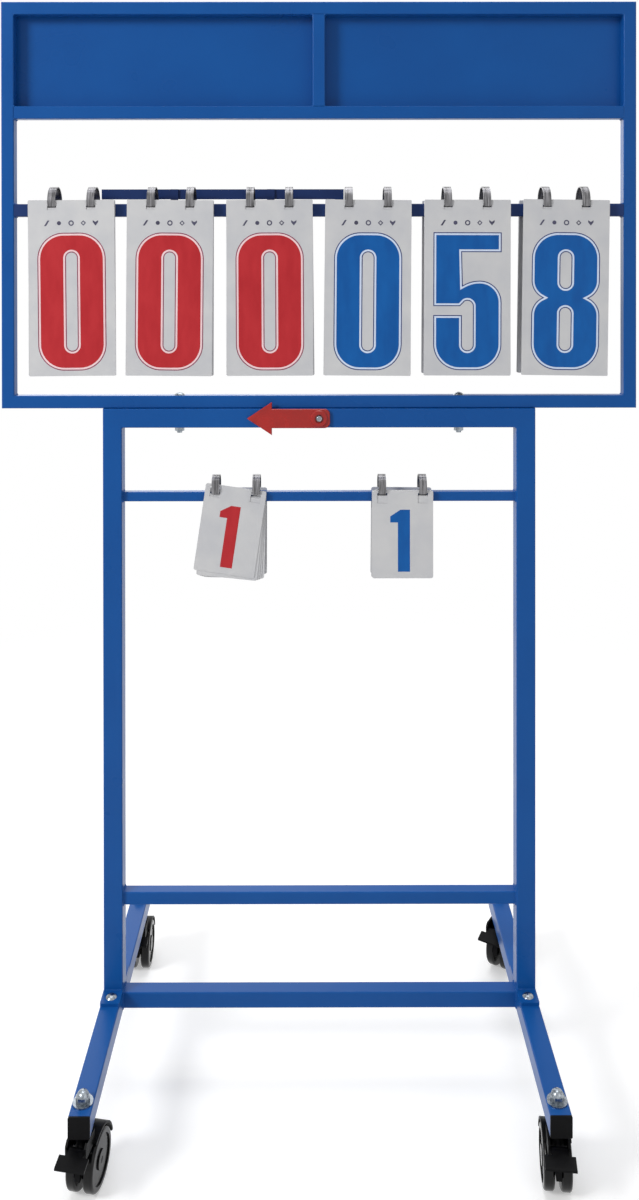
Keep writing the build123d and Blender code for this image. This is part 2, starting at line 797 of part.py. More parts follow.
def caster_fork(name):
    side, end, swivel = caster_swivels[name]
    stem_x, stem_end_y = stem_places[name]
    middle = side_plane(name)
    with BuildPart() as fork:
        # fender over the top of both wheels
        with BuildSketch(middle):
            with Locations((caster_trail, wheel_radius)):
                Circle(fender_outer)
                Circle(fender_inner, mode=Mode.SUBTRACT)
            with BuildLine():
                span = 3 * wheel_radius
                Polyline(
                    (caster_trail, wheel_radius),
                    polar_point(span, fender_start),
                    polar_point(span, (fender_start + fender_end) / 2),
                    polar_point(span, fender_end),
                    close=True,
                )
            make_face(mode=Mode.INTERSECT)
        extrude(amount=wheel_outer, both=True)
        # swivel boss and the two ears that hold the pedal's pin
        rod(stem_x, stem_end_y, fork_top - boss_depth, fork_top, boss_diameter)
        for across in (-1, 1):
            with BuildSketch(side_plane(name, across * (ear_inner + ear_thickness / 2))):
                with BuildLine():
                    ear_low = pin_place[1] - ear_drop
                    ear_high = fork_top - ear_top_step
                    ear_tip = pin_place[0] - ear_margin
                    Polyline(
                        (ear_tip, ear_low),
                        (ear_margin, ear_low),
                        (ear_margin, ear_high),
                        (pin_place[0], ear_high),
                        (ear_tip, ear_high - ear_margin),
                        close=True,
                    )
                make_face()
            extrude(amount=ear_thickness / 2, both=True)
        # room for the two wheels
        for across in (-1, 1):
            wheel_room = side_plane(name, across * web_thickness / 2)
            with BuildSketch(wheel_room):
                with Locations((caster_trail, wheel_radius)):
                    Circle(fender_inner)
            extrude(amount=-across * 2 * wheel_width, mode=Mode.SUBTRACT)
        # web between the wheels, down to the axle
        with BuildSketch(middle):
            with Locations((caster_trail, wheel_radius)):
                Circle(fender_inner + fender_thickness / 2)
            with Locations((caster_trail, wheel_radius - fender_outer)):
                Rectangle(3 * fender_outer, 2 * fender_outer, mode=Mode.SUBTRACT)
            with Locations((caster_trail, wheel_radius)):
                Circle(axle_diameter)
        extrude(amount=web_thickness / 2, both=True)
        # bores for the stem, the axle and the pedal's pin
        stem_room = stem_diameter + 2 * running_clearance
        bolt_hole(stem_x, stem_end_y, stem_low - stem_bore_extra, fork_top, stem_room)
        with BuildSketch(middle):
            with Locations((caster_trail, wheel_radius)):
                Circle(axle_diameter / 2 + running_clearance)
            with Locations(pin_place):
                Circle(pedal_pin_diameter / 2 + running_clearance)
        extrude(amount=2 * wheel_width, both=True, mode=Mode.SUBTRACT)
        # axle and pin, each a piece of its own
        with BuildSketch(middle):
            with Locations((caster_trail, wheel_radius)):
                Circle(axle_diameter / 2)
        extrude(amount=wheel_outer, both=True)
        with BuildSketch(middle):
            with Locations(pin_place):
                Circle(pedal_pin_diameter / 2)
        extrude(amount=ear_inner + ear_thickness, both=True)
    return fork


def caster_wheels(name):
    with BuildPart() as wheels:
        for across in (-1, 1):
            with BuildSketch(side_plane(name, across * wheel_inner)):
                with Locations((caster_trail, wheel_radius)):
                    Circle(wheel_radius)
            extrude(amount=-across * wheel_width)
        rims = wheels.edges().filter_by(GeomType.CIRCLE)
        fillet(rims, radius=wheel_rounding)
        for across in (-1, 1):
            outer_side = side_plane(name, across * wheel_outer)
            with BuildSketch(outer_side):
                with Locations((caster_trail, wheel_radius)):
                    Circle(wheel_radius - 2 * wheel_rounding)
                    Circle(hub_diameter / 2, mode=Mode.SUBTRACT)
            extrude(amount=across * wheel_recess, mode=Mode.SUBTRACT)
        with BuildSketch(side_plane(name)):
            with Locations((caster_trail, wheel_radius)):
                Circle(axle_diameter / 2 + 2 * running_clearance)
        extrude(amount=2 * wheel_width + wheel_inner, both=True, mode=Mode.SUBTRACT)
    return wheels


def caster_pedal(name):
    barrel = pedal_barrel_diameter / 2
    pin_u, pin_z = pin_place
    tip_z = caster_height - pedal_tip_drop
    tip_u = -pedal_reach
    shoe_tip = polar_point(wheel_radius + shoe_gap, shoe_tip_angle)
    half_plate = pedal_plate_thickness / 2
    with BuildPart() as pedal:
        # plate between the ears
        with BuildSketch(side_plane(name)):
            with Locations(pin_place):
                Circle(barrel)
            with BuildLine():
                Polyline(
                    (pin_u, pin_z + barrel),
                    (tip_u, tip_z + half_plate),
                    (tip_u, tip_z - half_plate),
                    (pin_u, pin_z),
                    close=True,
                )
            make_face()
        extrude(amount=ear_inner - pedal_side_gap, both=True)
        # wider tread plate outside the ears
        with BuildSketch(side_plane(name)):
            with BuildLine():
                start_u = pin_u + (tip_u - pin_u) * tread_start
                start_z = pin_z + barrel + (tip_z + half_plate - pin_z - barrel) * tread_start
                Polyline(
                    (start_u, start_z),
                    (tip_u, tip_z + half_plate),
                    (tip_u, tip_z - half_plate),
                    (start_u, start_z - pedal_plate_thickness),
                    close=True,
                )
            make_face()
        extrude(amount=pedal_width / 2, both=True)
        # one brake shoe for each wheel
        for across in (-1, 1):
            shoe_width = ear_inner - pedal_side_gap - wheel_inner
            shoe_middle = wheel_inner + shoe_width / 2
            with BuildSketch(side_plane(name, across * shoe_middle)):
                with BuildLine():
                    Polyline(
                        (pin_u - shoe_half_root, pin_z),
                        (pin_u + shoe_half_root, pin_z),
                        (-boss_diameter / 2 - shoe_boss_gap, fork_top - boss_depth - shoe_boss_drop),
                        shoe_tip,
                        (shoe_tip[0] - shoe_tip_depth, shoe_tip[1] - shoe_tip_slope),
                        close=True,
                    )
                make_face()
            extrude(amount=shoe_width / 2, both=True)
        with BuildSketch(side_plane(name)):
            with Locations(pin_place):
                Circle(pedal_pin_diameter / 2 + running_clearance)
        extrude(amount=pedal_width, both=True, mode=Mode.SUBTRACT)
    return pedal


for corner in caster_swivels:
    for piece, make in (("fork", caster_fork), ("wheels", caster_wheels), ("pedal", caster_pedal)):
        caster_part = make(corner)
        caster_part.part.label = f"{corner}_{piece}"
        export_step(caster_part.part, f"parts/{corner}_{piece}.step")
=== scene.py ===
import json
import math

import bmesh
import bpy
from mathutils import Matrix, Vector
from mathutils.geometry import tessellate_polygon


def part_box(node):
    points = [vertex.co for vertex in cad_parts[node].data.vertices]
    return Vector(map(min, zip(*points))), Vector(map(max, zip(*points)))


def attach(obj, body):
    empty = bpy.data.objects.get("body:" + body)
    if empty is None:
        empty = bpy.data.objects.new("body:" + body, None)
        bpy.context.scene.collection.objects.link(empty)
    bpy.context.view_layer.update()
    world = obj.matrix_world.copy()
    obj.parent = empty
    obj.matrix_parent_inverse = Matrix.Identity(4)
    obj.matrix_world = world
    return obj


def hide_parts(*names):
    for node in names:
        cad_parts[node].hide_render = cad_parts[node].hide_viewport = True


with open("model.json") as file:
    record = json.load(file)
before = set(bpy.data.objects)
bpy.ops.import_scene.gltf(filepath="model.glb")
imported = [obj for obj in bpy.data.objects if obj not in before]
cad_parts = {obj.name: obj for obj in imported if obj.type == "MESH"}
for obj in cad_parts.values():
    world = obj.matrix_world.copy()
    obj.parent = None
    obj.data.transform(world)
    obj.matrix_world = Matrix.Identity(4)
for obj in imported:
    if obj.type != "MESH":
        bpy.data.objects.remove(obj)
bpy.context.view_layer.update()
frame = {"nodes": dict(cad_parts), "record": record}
nodes = frame["nodes"]
standBody = "stand_and_board"
mm = 0.001  # the frame is in metres
scene = bpy.context.scene


# Small helpers

def srgb(hexCode):
    channels = [int(hexCode[i:i + 2], 16) / 255 for i in (1, 3, 5)]
    linear = [c / 12.92 if c <= 0.04045 else ((c + 0.055) / 1.055) ** 2.4 for c in channels]
    return (*linear, 1.0)


def addObject(name, data):
    made = bpy.data.objects.new(name, data)
    scene.collection.objects.link(made)
    return made


def addNode(tree, kind, settings=(), inputs=()):
    node = tree.nodes.new(kind)
    for name, value in dict(settings).items():
        setattr(node, name, value)
    for name, value in dict(inputs).items():
        if isinstance(value, bpy.types.NodeSocket):
            tree.links.new(value, node.inputs[name])
        else:
            node.inputs[name].default_value = value
    return node


def groupInput(group, name, kind, value=None):
    socket = group.interface.new_socket(name=name, in_out="INPUT", socket_type=kind)
    if value is not None:
        socket.default_value = value
    return socket.identifier


def runNodes(holder, group, ids, values, name):
    # runs a geometry tree on an object and keeps the result as a plain mesh
    modifier = holder.modifiers.new(group.name, "NODES")
    modifier.node_group = group
    for key, value in values.items():
        modifier[ids[key]] = value
    graph = bpy.context.evaluated_depsgraph_get()
    made = addObject(name, bpy.data.meshes.new_from_object(holder.evaluated_get(graph)))
    bpy.data.objects.remove(holder)
    return made


def newMaterial(name, roughness, metallic=0.0, ior=1.5, specular=0.5):
    material = bpy.data.materials.new(name)
    material.use_nodes = True
    tree = material.node_tree
    shader = tree.nodes["Principled BSDF"]
    shader.inputs["Roughness"].default_value = roughness
    shader.inputs["Metallic"].default_value = metallic
    shader.inputs["Specular IOR Level"].default_value = specular
    if metallic == 0.0:
        shader.inputs["IOR"].default_value = ior
    return material, tree, shader


# nearly all of the noise lies between these two values
noiseLow, noiseHigh = 0.3, 0.7


def mottled(tree, shader, darkHex, lightHex, cellMm, smooth, dull, stretch=(1.0, 1.0, 1.0)):
    # two close shades in soft blotches cellMm across, with their own gloss from smooth to dull
    coords = addNode(tree, "ShaderNodeTexCoord")
    place = addNode(
        tree, "ShaderNodeMapping",
        inputs={"Vector": coords.outputs["Object"], "Scale": stretch},
    )
    blotches = addNode(
        tree, "ShaderNodeTexNoise",
        inputs={"Vector": place.outputs["Vector"], "Scale": 1 / (cellMm * mm), "Detail": 3.0},
    )
    shades = addNode(tree, "ShaderNodeValToRGB", inputs={"Fac": blotches.outputs["Fac"]})
    ends = shades.color_ramp.elements
    ends[0].position = noiseLow
    ends[1].position = noiseHigh
    ends[0].color = srgb(darkHex)
    ends[1].color = srgb(lightHex)
    gloss = addNode(
        tree, "ShaderNodeMapRange",
        inputs={
            "Value": blotches.outputs["Fac"], "From Min": noiseLow, "From Max": noiseHigh,
            "To Min": smooth, "To Max": dull,
        },
    )
    tree.links.new(shades.outputs["Color"], shader.inputs["Base Color"])
    tree.links.new(gloss.outputs["Result"], shader.inputs["Roughness"])


def uneven(tree, shader, cellMm, depthMm, stretch=(1.0, 1.0, 1.0)):
    # a fine relief of bumps cellMm across and depthMm high
    coords = addNode(tree, "ShaderNodeTexCoord")
    place = addNode(
        tree, "ShaderNodeMapping",
        inputs={"Vector": coords.outputs["Object"], "Scale": stretch},
    )
    height = addNode(
        tree, "ShaderNodeTexNoise",
        inputs={"Vector": place.outputs["Vector"], "Scale": 1 / (cellMm * mm), "Detail": 1.0},
    )
    relief = addNode(
        tree, "ShaderNodeBump",
        inputs={"Height": height.outputs["Fac"], "Distance": depthMm * mm, "Strength": 1.0},
    )
    tree.links.new(relief.outputs["Normal"], shader.inputs["Normal"])


# Materials

peel = {"cellMm": 2.6, "depthMm": 0.022}  # the orange peel of cured powder


def bluePowderCoat():
    # polyester powder on steel tube: deep blue that shines only at a slant, with fine orange peel
    material, tree, shader = newMaterial("bluePowderCoat", roughness=0.3, specular=0.16)
    mottled(tree, shader, "#0F4D93", "#125299", cellMm=140, smooth=0.26, dull=0.34)
    uneven(tree, shader, **peel)
    return material


def navyPowderCoat():
    # the same blue powder painted deeper and greyer as painted shade, on the score cards' rail
    # and the bar behind it
    material, tree, shader = newMaterial("navyPowderCoat", roughness=0.34, specular=0.14)
    mottled(tree, shader, "#1B2F5E", "#243A6C", cellMm=90, smooth=0.28, dull=0.4)
    uneven(tree, shader, **peel)
    return material


def zincPlate():
    # bright zinc on bolts and nuts: silver with a faint blue cast, and tiny dull patches
    material, tree, shader = newMaterial("zincPlate", roughness=0.3, metallic=1.0)
    mottled(tree, shader, "#737A82", "#A9B0B6", cellMm=4, smooth=0.16, dull=0.36)
    return material


def rolledSteel():
    # galvanised strip bent cold: mid grey, with fine rolling lines that run along the strip
    material, tree, shader = newMaterial("rolledSteel", roughness=0.38, metallic=1.0)
    lines = (1.0, 0.08, 0.08)
    mottled(tree, shader, "#4A4A4B", "#8E8D90", cellMm=2.2, smooth=0.24, dull=0.42, stretch=lines)
    uneven(tree, shader, cellMm=0.9, depthMm=0.02, stretch=(1.0, 0.06, 0.06))
    return material


def pvcSheet():
    # calendered white PVC: satin, slightly grey, a little wavy from handling
    material, tree, shader = newMaterial("pvcSheet", roughness=0.45, ior=1.53, specular=0.35)
    mottled(tree, shader, "#C0C1C5", "#CBCBCC", cellMm=45, smooth=0.4, dull=0.55)
    uneven(tree, shader, cellMm=18, depthMm=0.1)
    return material


def printingInk(name, darkHex, lightHex):
    # screen-printed ink: solid and a little glossier than the sheet, slightly uneven in depth
    material, tree, shader = newMaterial(name, roughness=0.38, specular=0.2)
    streaks = (1.0, 1.0, 0.35)
    mottled(tree, shader, darkHex, lightHex, cellMm=16, smooth=0.32, dull=0.46, stretch=streaks)
    return material


def redPolypropylene():
    # moulded polypropylene: warm red, waxy gloss, very slight sink marks
    material, tree, shader = newMaterial(
        "redPolypropylene", roughness=0.28, ior=1.49, specular=0.42,
    )
    mottled(tree, shader, "#971510", "#A91E18", cellMm=30, smooth=0.18, dull=0.3)
    uneven(tree, shader, cellMm=14, depthMm=0.1)
    return material


def blackNylon():
    # moulded nylon, almost black, with a fine spark-eroded grain
    material, tree, shader = newMaterial("blackNylon", roughness=0.45, ior=1.53, specular=0.07)
    mottled(tree, shader, "#050506", "#0B0B0D", cellMm=8, smooth=0.32, dull=0.46)
    uneven(tree, shader, cellMm=1.1, depthMm=0.02)
    return material


def wheelRubber():
    # hard polished tread: black, with narrow bright highlights and a trace of dust
    material, tree, shader = newMaterial("wheelRubber", roughness=0.22, ior=1.52, specular=0.2)
    mottled(tree, shader, "#060607", "#0E0E0F", cellMm=11, smooth=0.1, dull=0.26)
    return material


finishes = {
    "blue_powder_coat": bluePowderCoat(),
    "zinc_plate": zincPlate(),
    "strip_steel": rolledSteel(),
    "card_sheet": pvcSheet(),
    "red_plastic": redPolypropylene(),
    "black_plastic": blackNylon(),
    "wheel_rubber": wheelRubber(),
}
# each side's keyline, pale inline and solid colour
inkSets = {
    "red": (
        printingInk("redKeyline", "#7A2F4A", "#8A3A54"),
        printingInk("palePinkInk", "#E9C9CD", "#F0D3D6"),
        printingInk("redInk", "#B0262D", "#BB2E34"),
    ),
    "blue": (
        printingInk("blueKeyline", "#1F2C66", "#2A3873"),
        printingInk("paleBlueInk", "#C9D7EC", "#D2DEF0"),
        printingInk("blueInk", "#07529A", "#0D5CA6"),
    ),
}
markInk = printingInk("markInk", "#474658", "#54536A")
print("materials ready")


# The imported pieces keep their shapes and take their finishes

for part in frame["record"]["subparts"]:
    piece = nodes[part["node"]]
    piece.data.materials.clear()
    piece.data.materials.append(finishes[part["material_slot"]])
# the score cards' rail and the bar behind it take the blue powder with painted shade in its
# colour
paintedShadeCoat = navyPowderCoat()
for node in ("card_rail", "rear_bar"):
    nodes[node].data.materials[0] = paintedShadeCoat
print("finishes on the packed pieces")


# Numbers: outlines in millimetres, x to the right and z up, from the number's lower left corner.
# Each is a list of closed loops, first the outside, anticlockwise, and then its holes, clockwise.

numberSizes = {
    "width": 106.6,
    "height": 215.5,
    "stroke": 44.7,
    "bar": 31.0,
    "corner": 41.0,
    "bowlCorner": 34.0,
    "keyline": 1.5,  # width of the dark line round a number
    "inline": 4.3,  # how far in its solid colour starts
    "endRoom": 0.01,  # a hole's corner radius is this much under half its width
    "arcStep": 5.0,  # degrees from one point of an arc to the next
    "ringEnd": 352.0,  # degrees, where a full ring stops, short of its own first point
}


def arc(x, z, radius, start, end):
    steps = max(2, math.ceil(abs(end - start) / numberSizes["arcStep"]))
    turns = [math.radians(start + (end - start) * i / steps) for i in range(steps + 1)]
    return [(x + radius * math.cos(t), z + radius * math.sin(t)) for t in turns]


def roundedBox(x0, x1, z0, z1, radius):
    return (
        arc(x1 - radius, z0 + radius, radius, -90, 0)
        + arc(x1 - radius, z1 - radius, radius, 0, 90)
        + arc(x0 + radius, z1 - radius, radius, 90, 180)
        + arc(x0 + radius, z0 + radius, radius, 180, 270)
    )


def counter(z0, z1):
    # the hole of a number, between two of its strokes
    size = numberSizes
    left, right = size["stroke"], size["width"] - size["stroke"]
    return roundedBox(left, right, z0, z1, (right - left) / 2 - size["endRoom"])[::-1]


def numberZero():
    size = numberSizes
    outside = roundedBox(0, size["width"], 0, size["height"], size["corner"])
    return [outside, counter(size["bar"], size["height"] - size["bar"])]


eightSizes = {
    "waist": 0.523,  # of the height
    "waistDepth": 17.1,
    "waistRadius": 30.0,
}


def numberEight():
    size = numberSizes
    width, height, corner = size["width"], size["height"], size["corner"]
    radius = eightSizes["waistRadius"]
    turn = math.degrees(math.acos(1 - eightSizes["waistDepth"] / radius))
    rise = radius * math.sin(math.radians(turn))
    waist = eightSizes["waist"] * height
    outside = (
        arc(width - corner, corner, corner, -90, 0)
        + arc(width - radius, waist - rise, radius, 0, turn)
        + arc(width - radius, waist + rise, radius, -turn, 0)[1:]
        + arc(width - corner, height - corner, corner, 0, 90)
        + arc(corner, height - corner, corner, 90, 180)
        + arc(radius, waist + rise, radius, 180, 180 + turn)
        + arc(radius, waist - rise, radius, 180 - turn, 180)[1:]
        + arc(corner, corner, corner, 180, 270)
    )
    low, high, gap = size["bar"], height - size["bar"], size["bar"] / 2
    return [outside, counter(low, waist - gap), counter(waist + gap, high)]


fiveSizes = {
    "bowlTop": 140.0,
    "bowlBack": 51.5,
    "backEnd": 121.0,  # degrees, where the curve over the bowl meets the upright
    "armLow": 100.0,
    "armShort": 3.0,
    "slotStart": 120.0,  # degrees, where the slot's round upper end starts
    "terminal": 86.0,
}


def numberFive():
    size, five = numberSizes, fiveSizes
    width, height, corner, stroke = size["width"], size["height"], size["corner"], size["stroke"]
    slot = (width - 2 * stroke) / 2
    bowlTop, bowlBack, bowlCorner = five["bowlTop"], five["bowlBack"], size["bowlCorner"]
    barLow = height - size["bar"]
    outside = (
        arc(width - corner, corner, corner, -90, 0)
        + arc(width - bowlCorner, bowlTop - bowlCorner, bowlCorner, 0, 90)
        + arc(width - bowlCorner, bowlTop - bowlBack, bowlBack, 90, five["backEnd"])[1:]
        + [(stroke, barLow), (width, barLow), (width, height), (0, height)]
        + [(0, five["armLow"]), (stroke - five["armShort"], five["armLow"])]
        + arc(width / 2, five["armLow"], slot, five["slotStart"], 0)
        + arc(width / 2, size["bar"] + slot, slot, 0, -180)
        + [(stroke, five["terminal"]), (0, five["terminal"])]
        + arc(corner, corner, corner, 180, 270)
    )
    return [outside]


sixSizes = {
    "bowlTop": 139.0,
    "hookLow": 153.0,
}


def numberSix():
    size = numberSizes
    width, height, corner, stroke = size["width"], size["height"], size["corner"], size["stroke"]
    slot = (width - 2 * stroke) / 2
    bowlTop, hookLow, bowlCorner = sixSizes["bowlTop"], sixSizes["hookLow"], size["bowlCorner"]
    outside = (
        arc(width - corner, corner, corner, -90, 0)
        + arc(width - bowlCorner, bowlTop - bowlCorner, bowlCorner, 0, 90)
        + [(stroke, bowlTop)]
        + arc(width / 2, height - size["bar"] - slot, slot, 180, 0)
        + [(width - stroke, hookLow), (width, hookLow)]
        + arc(width - corner, height - corner, corner, 0, 90)
        + arc(corner, height - corner, corner, 90, 180)
        + arc(corner, corner, corner, 180, 270)
    )
    return [outside, counter(size["bar"], bowlTop - size["bar"])]


def numberNine():
    size = numberSizes
    return [[(size["width"] - x, size["height"] - z) for x, z in loop] for loop in numberSix()]


# the flag of a 1: how far in its top ends, its reach, and its upper and lower corner from the top
oneFlag = {"topIn": 9.0, "reach": 26.0, "upper": 22.0, "lower": 41.0}


def stemWithFlag(left, right, height, flag):
    flagTop, flagFoot = height - flag["upper"], height - flag["lower"]
    return [[
        (left, 0), (right, 0), (right, height), (left + flag["topIn"], height),
        (left - flag["reach"], flagTop), (left - flag["reach"], flagFoot), (left, flagFoot),
    ]]


def numberOne():
    size = numberSizes
    right = (size["width"] + size["stroke"]) / 2
    return stemWithFlag(right - size["stroke"], right, size["height"], oneFlag)


setOneSizes = {
    "left": -7.5,
    "right": 11.5,
    "height": 97.5,
    "flag": {"topIn": 4.0, "reach": 12.0, "upper": 10.5, "lower": 20.0},
}


def setOne():
    return stemWithFlag(**setOneSizes)


setTwoSizes = {
    "half": 24.0,
    "height": 97.5,
    "stroke": 18.0,
    "foot": 16.0,
    "corner": 19.0,
    "bar": 15.0,
    "hookLow": 34.0,
    "heelIn": 22.0,
    "slantLow": 22.0,
    "slantIn": 3.0,
    "slantOuter": 50.0,
    "slantInner": 57.0,
}


def setTwo():
    size = setTwoSizes
    half, height, corner, foot = size["half"], size["height"], size["corner"], size["foot"]
    slot = half - size["stroke"]
    hookLow = height - size["hookLow"]
    return [
        [(-half, 0), (half, 0), (half, foot), (-half + size["heelIn"], foot)]
        + [(half - size["slantIn"], size["slantOuter"])]
        + arc(half - corner, height - corner, corner, 0, 90)
        + arc(-half + corner, height - corner, corner, 90, 180)
        + [(-half, hookLow), (-slot, hookLow)]
        + arc(0, height - size["bar"] - slot, slot, 180, 0)
        + [(slot, size["slantInner"]), (-half, size["slantLow"])]
    ]


def inset(loop, distance):
    # the loop moved inwards; a point on top of its neighbour takes its side's direction
    samePoint = 1e-6
    sharpest = 0.15  # keeps the step at a sharp corner short
    moved = []
    for i, (x, z) in enumerate(loop):
        following = loop[(i + 1) % len(loop)]
        before = Vector((x - loop[i - 1][0], z - loop[i - 1][1]))
        after = Vector((following[0] - x, following[1] - z))
        if before.length < samePoint or after.length < samePoint:
            before = after = before if before.length > after.length else after
        first = Vector((-before.y, before.x)).normalized()
        second = Vector((-after.y, after.x)).normalized()
        step = (first + second) / max(sharpest, 1 + first.dot(second))
        moved.append((x + distance * step.x, z + distance * step.y))
    return moved


# Printing on the cards: flat outlines face the reader, and Solidify gives the ink its thickness

inkSizes = {
    "proud": 0.08,  # in front of the sheet's face
    "sunk": 0.02,  # behind it
    "scoreFoot": 8.5,  # from a score card's lower edge to its number
    "setFoot": 10.4,  # the same on a set card
    "sharedPoint": 0.02,  # points nearer than this become one
}
# the row of five plain marks; the last four are shares of half a mark
markSizes = {
    "row": 101.5,  # above the card's middle
    "pitch": 19.0,
    "size": 8.5,
    "stroke": 0.36,
    "disc": 0.75,
    "ringHole": 0.55,
    "diamondHole": 0.5,
}


def flatMesh(name, layers, toWorld, materials):
    # each layer is rings between two loops, loops to fill, and the place of its ink in materials
    mesh = bpy.data.meshes.new(name)
    points, faces, slots = [], [], []
    for rings, fill, slot in layers:
        for outer, inner in rings:
            start, count = len(points), len(outer)
            points += [toWorld(*p) for p in outer] + [toWorld(*p) for p in inner]
            for i in range(count):
                j = (i + 1) % count
                faces.append((start + i, start + j, start + count + j, start + count + i))
                slots.append(slot)
        if fill:
            start = len(points)
            points += [toWorld(*p) for loop in fill for p in loop]
            flat = [[Vector((x, z, 0)) for x, z in loop] for loop in fill]
            for triangle in tessellate_polygon(flat):
                faces.append([start + i for i in triangle])
                slots.append(slot)
    mesh.from_pydata(points, [], faces)
    for polygon, slot in zip(mesh.polygons, slots):
        polygon.material_index = slot
    for material in materials:
        mesh.materials.append(material)
    shape = bmesh.new()
    shape.from_mesh(mesh)
    bmesh.ops.remove_doubles(shape, verts=shape.verts, dist=inkSizes["sharedPoint"] * mm)
    shape.normal_update()
    flipped = [face for face in shape.faces if face.normal.y > 0]
    bmesh.ops.reverse_faces(shape, faces=flipped)
    shape.to_mesh(mesh)
    shape.free()
    return addObject(name, mesh)


def hoopLevel(stack):
    low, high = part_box("set_hoops" if stack in setStacks else "score_hoops")
    return (low.z + high.z) / 2


def onCard(node, depth, tilt, pivot):
    # turns a place on the card, from its middle in millimetres, into a place in the frame; the
    # card is tilted about the level of the pivot, or about its own middle where that is None
    low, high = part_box(node)
    middle = (low + high) / 2
    level = middle.z if pivot is None else pivot
    turn = math.radians(tilt)

    def toWorld(x, z):
        across, up = mm * x, mm * z + middle.z - level
        return (
            middle.x + across * math.cos(turn) + up * math.sin(turn),
            depth,
            level + up * math.cos(turn) - across * math.sin(turn),
        )

    return toWorld


def shifted(loops, dx, dz):
    return [[(x + dx, z + dz) for x, z in loop] for loop in loops]


def outlinedNumber(name, loops, toWorld, inks):
    line = [inset(loop, numberSizes["keyline"]) for loop in loops]
    body = [inset(loop, numberSizes["inline"]) for loop in loops]
    # the keyline, the pale inline and the solid colour
    layers = [
        (list(zip(loops, line)), None, 0),
        (list(zip(line, body)), None, 1),
        ([], body, 2),
    ]
    return flatMesh(name, layers, toWorld, inks)


def markLoops():
    # five plain marks: a slanted bar, a disc, a ring, a diamond and a chevron
    half, pitch, ringEnd = markSizes["size"] / 2, markSizes["pitch"], numberSizes["ringEnd"]
    thin = half * markSizes["stroke"]
    hole = half * markSizes["diamondHole"]
    bar = [[(-half, -half), (-half + 2 * thin, -half), (half, half), (half - 2 * thin, half)]]
    disc = [arc(0, 0, half * markSizes["disc"], 0, ringEnd)]
    ring = [arc(0, 0, half, 0, ringEnd), arc(0, 0, half * markSizes["ringHole"], ringEnd, 0)]
    diamond = [
        [(0, -half), (half, 0), (0, half), (-half, 0)],
        [(0, -hole), (-hole, 0), (0, hole), (hole, 0)],
    ]
    chevron = [[
        (-half, half), (0, thin), (half, half),
        (half, half - 2 * thin), (0, -half), (-half, half - 2 * thin),
    ]]
    marks = (bar, disc, ring, diamond, chevron)
    return [shifted(mark, (i - 2) * pitch, markSizes["row"]) for i, mark in enumerate(marks)]


def finishInk(piece, body):
    made = piece.modifiers.new("thickness", "SOLIDIFY")
    made.thickness = (inkSizes["proud"] + inkSizes["sunk"]) * mm
    made.offset = -1.0
    made.use_rim = True
    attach(piece, body)


def scoreNumber(name, node, depth, loops, inks, body, tilt, pivot):
    toWorld = onCard(node, depth, tilt, pivot)
    foot = -cardSizes["scoreHeight"] / 2 + inkSizes["scoreFoot"]
    placed = shifted(loops, -numberSizes["width"] / 2, foot)
    finishInk(outlinedNumber(f"{name}_number", placed, toWorld, inks), body)
    marks = flatMesh(f"{name}_marks", [([], mark, 0) for mark in markLoops()], toWorld, [markInk])
    finishInk(marks, body)


def setNumber(name, node, depth, loops, ink, body, tilt, pivot=None):
    toWorld = onCard(node, depth, tilt, pivot)
    foot = -cardSizes["setHeight"] / 2 + inkSizes["setFoot"]
    piece = flatMesh(f"{name}_number", [([], shifted(loops, 0, foot), 0)], toWorld, [ink])
    finishInk(piece, body)


cardSizes = {
    "scoreHeight": 275.0,
    "setHeight": 138.0,
    "slotRoom": 3.2,  # height of a slot once its lower edge is raised
    "rim": 5.0,  # no slot comes nearer than this to a card's edge
}
# each score stack's number in front and the next one under it
scoreStacks = {
    "red_hundreds": (numberZero, numberOne),
    "red_tens": (numberZero, numberOne),
    "red_units": (numberZero, numberOne),
    "blue_hundreds": (numberZero, numberOne),
    "blue_tens": (numberFive, numberSix),
    "blue_units": (numberEight, numberNine),
}
# how far each set stack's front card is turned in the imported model, in degrees
setStacks = {
    "red_set": 8.5,
    "blue_set": 0.0,
}
# how far the cards hang off plumb, in degrees: the first card of the pile, and on a score stack
# the front card over it too, then the last card of the pile
hanging = {
    "red_hundreds": (-0.5, 0.1),
    "red_tens": (0.55, 0.3),
    "red_units": (-0.2, -0.3),
    "blue_hundreds": (0.45, 0.3),
    "blue_tens": (0.2, 0.0),
    "blue_units": (0.8, 0.4),
    "red_set": (6.0, -1.0),
    "blue_set": (0.0, 0.6),
}


def inkFace(node):
    # depth of the ink's front on the nearest card of a node
    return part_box(node)[0].y - inkSizes["proud"] * mm


def frontSheet(stack, tilt):
    # a front card turned about its hoops, on its own body, in place of the plumb one
    card = f"{stack}_card"
    low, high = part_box(card)
    pivot = Matrix.Translation(((low.x + high.x) / 2, 0, hoopLevel(stack)))
    mesh = nodes[card].data.copy()
    mesh.transform(pivot @ Matrix.Rotation(math.radians(tilt), 4, "Y") @ pivot.inverted())
    sheet = addObject(f"{stack}_front_sheet", mesh)
    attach(sheet, card)
    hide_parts(card)


for stack, (front, following) in scoreStacks.items():
    card, pile, inks = f"{stack}_card", f"{stack}_pile", inkSets[stack.split("_")[0]]
    tilt, level = hanging[stack][0], hoopLevel(stack)
    frontSheet(stack, tilt)
    scoreNumber(stack, card, inkFace(card), front(), inks, card, tilt, level)
    scoreNumber(f"{stack}_next", card, inkFace(pile), following(), inks, standBody, tilt, level)

for stack, tilt in setStacks.items():
    card, pile, ink = f"{stack}_card", f"{stack}_pile", inkSets[stack.split("_")[0]][2]
    setNumber(stack, card, inkFace(card), setOne(), ink, card, tilt)
    nextTilt, level = hanging[stack][0], hoopLevel(stack)
    setNumber(f"{stack}_next", pile, inkFace(pile), setTwo(), ink, standBody, nextTilt, level)
print("numbers printed on the cards")


